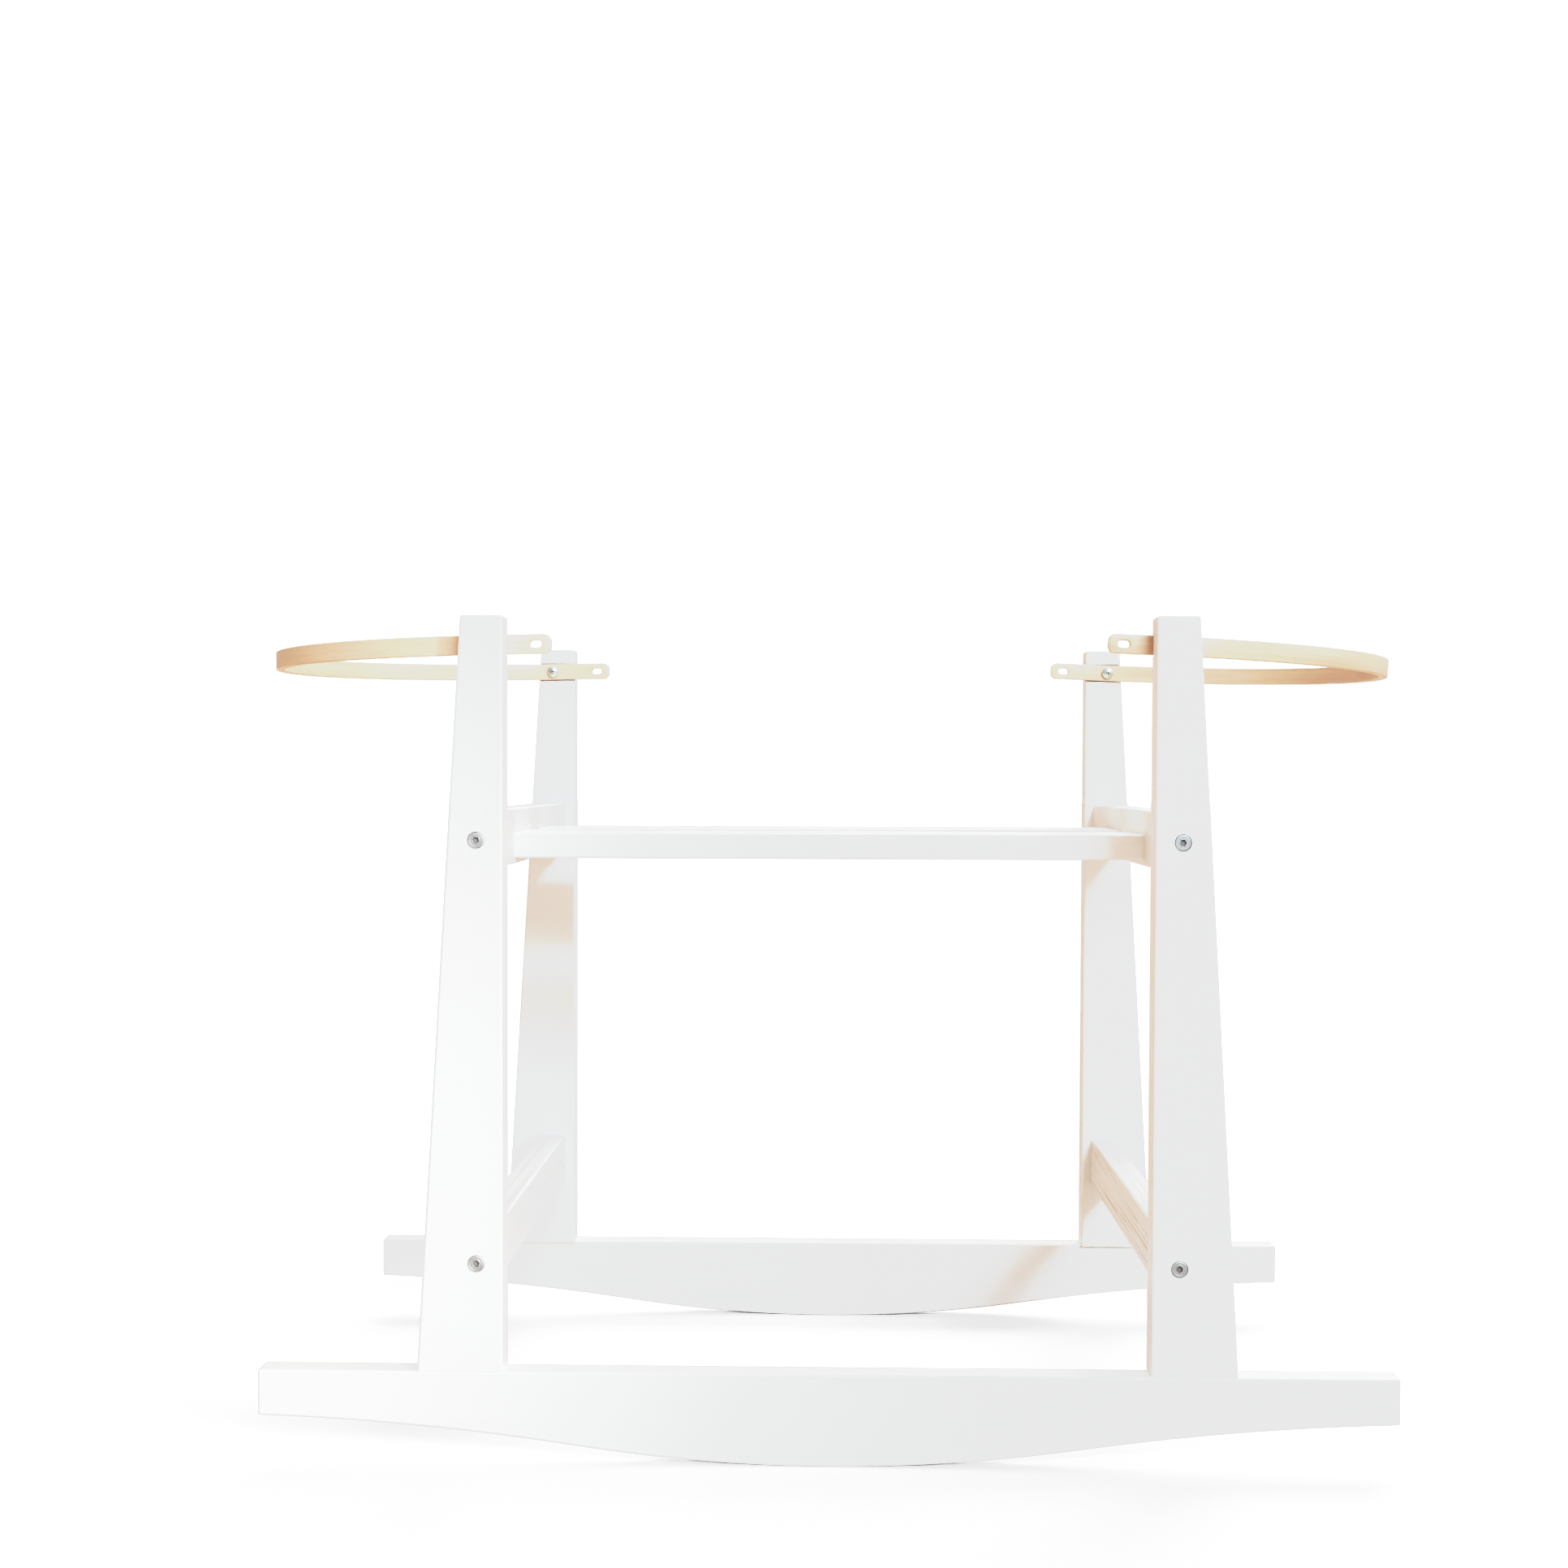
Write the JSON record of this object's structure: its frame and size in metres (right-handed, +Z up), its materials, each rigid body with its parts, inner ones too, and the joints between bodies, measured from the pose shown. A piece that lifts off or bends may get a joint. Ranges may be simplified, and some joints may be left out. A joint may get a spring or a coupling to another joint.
{
  "type": "baby cradle stand",
  "caption": "Wooden rocking stand for a baby's basket: tapered legs on curved rockers, side rails, slats to stand the basket on, and bentwood hoops round its ends.",
  "frame": {"origin": "on the floor, under the middle of the stand", "axes": "+X along the rockers, +Y from the front rocker to the rear one, +Z up"},
  "size_m": [0.884, 0.46, 0.6029],
  "materials": {
    "white_paint": "satin off-white paint over wood, with a faint grain",
    "bentwood": "clear satin lacquer on pale bent plywood",
    "dowel_beech": "bare turned beech",
    "bolt_nickel": "dull nickel plate",
    "nut_zinc": "bright zinc plate",
    "screw_zinc": "bright zinc plate",
    "insert_brass": "bare brass"
  },
  "bodies": {
    "frame": {"rocker_front": "white_paint", "slat_front": "white_paint", "rocker_rear": "white_paint", "slat_rear": "white_paint", "leg_front_left": "white_paint", "foot_dowels_front_left": "dowel_beech", "rail_bolts_front_left": "bolt_nickel", "barrel_nuts_front_left": "nut_zinc", "rail_dowels_front_left": "dowel_beech", "leg_front_right": "white_paint", "foot_dowels_front_right": "dowel_beech", "rail_bolts_front_right": "bolt_nickel", "barrel_nuts_front_right": "nut_zinc", "rail_dowels_front_right": "dowel_beech", "leg_rear_left": "white_paint", "foot_dowels_rear_left": "dowel_beech", "rail_bolts_rear_left": "bolt_nickel", "barrel_nuts_rear_left": "nut_zinc", "rail_dowels_rear_left": "dowel_beech", "leg_rear_right": "white_paint", "foot_dowels_rear_right": "dowel_beech", "rail_bolts_rear_right": "bolt_nickel", "barrel_nuts_rear_right": "nut_zinc", "rail_dowels_rear_right": "dowel_beech", "upper_side_rail_left": "white_paint", "lower_side_rail_left": "white_paint", "slat_screws_left": "screw_zinc", "slat_dowels_left": "dowel_beech", "hoop_screws_left": "screw_zinc", "hoop_inserts_left": "insert_brass", "upper_side_rail_right": "white_paint", "lower_side_rail_right": "white_paint", "slat_screws_right": "screw_zinc", "slat_dowels_right": "dowel_beech", "hoop_screws_right": "screw_zinc", "hoop_inserts_right": "insert_brass"},
    "hoop_left": {"hoop_left": "bentwood"},
    "hoop_right": {"hoop_right": "bentwood"}
  },
  "joints": [
    {"name": "hoop_left_pivot", "type": "hinge", "parent": "frame", "child": "hoop_left", "pos_m": [-0.249, 0, 0.583], "axis": [0, 1, 0], "range_deg": [-1.2, 3.6]},
    {"name": "hoop_right_pivot", "type": "hinge", "parent": "frame", "child": "hoop_right", "pos_m": [0.249, 0, 0.583], "axis": [0, -1, 0], "range_deg": [0, 4.8]}
  ]
}
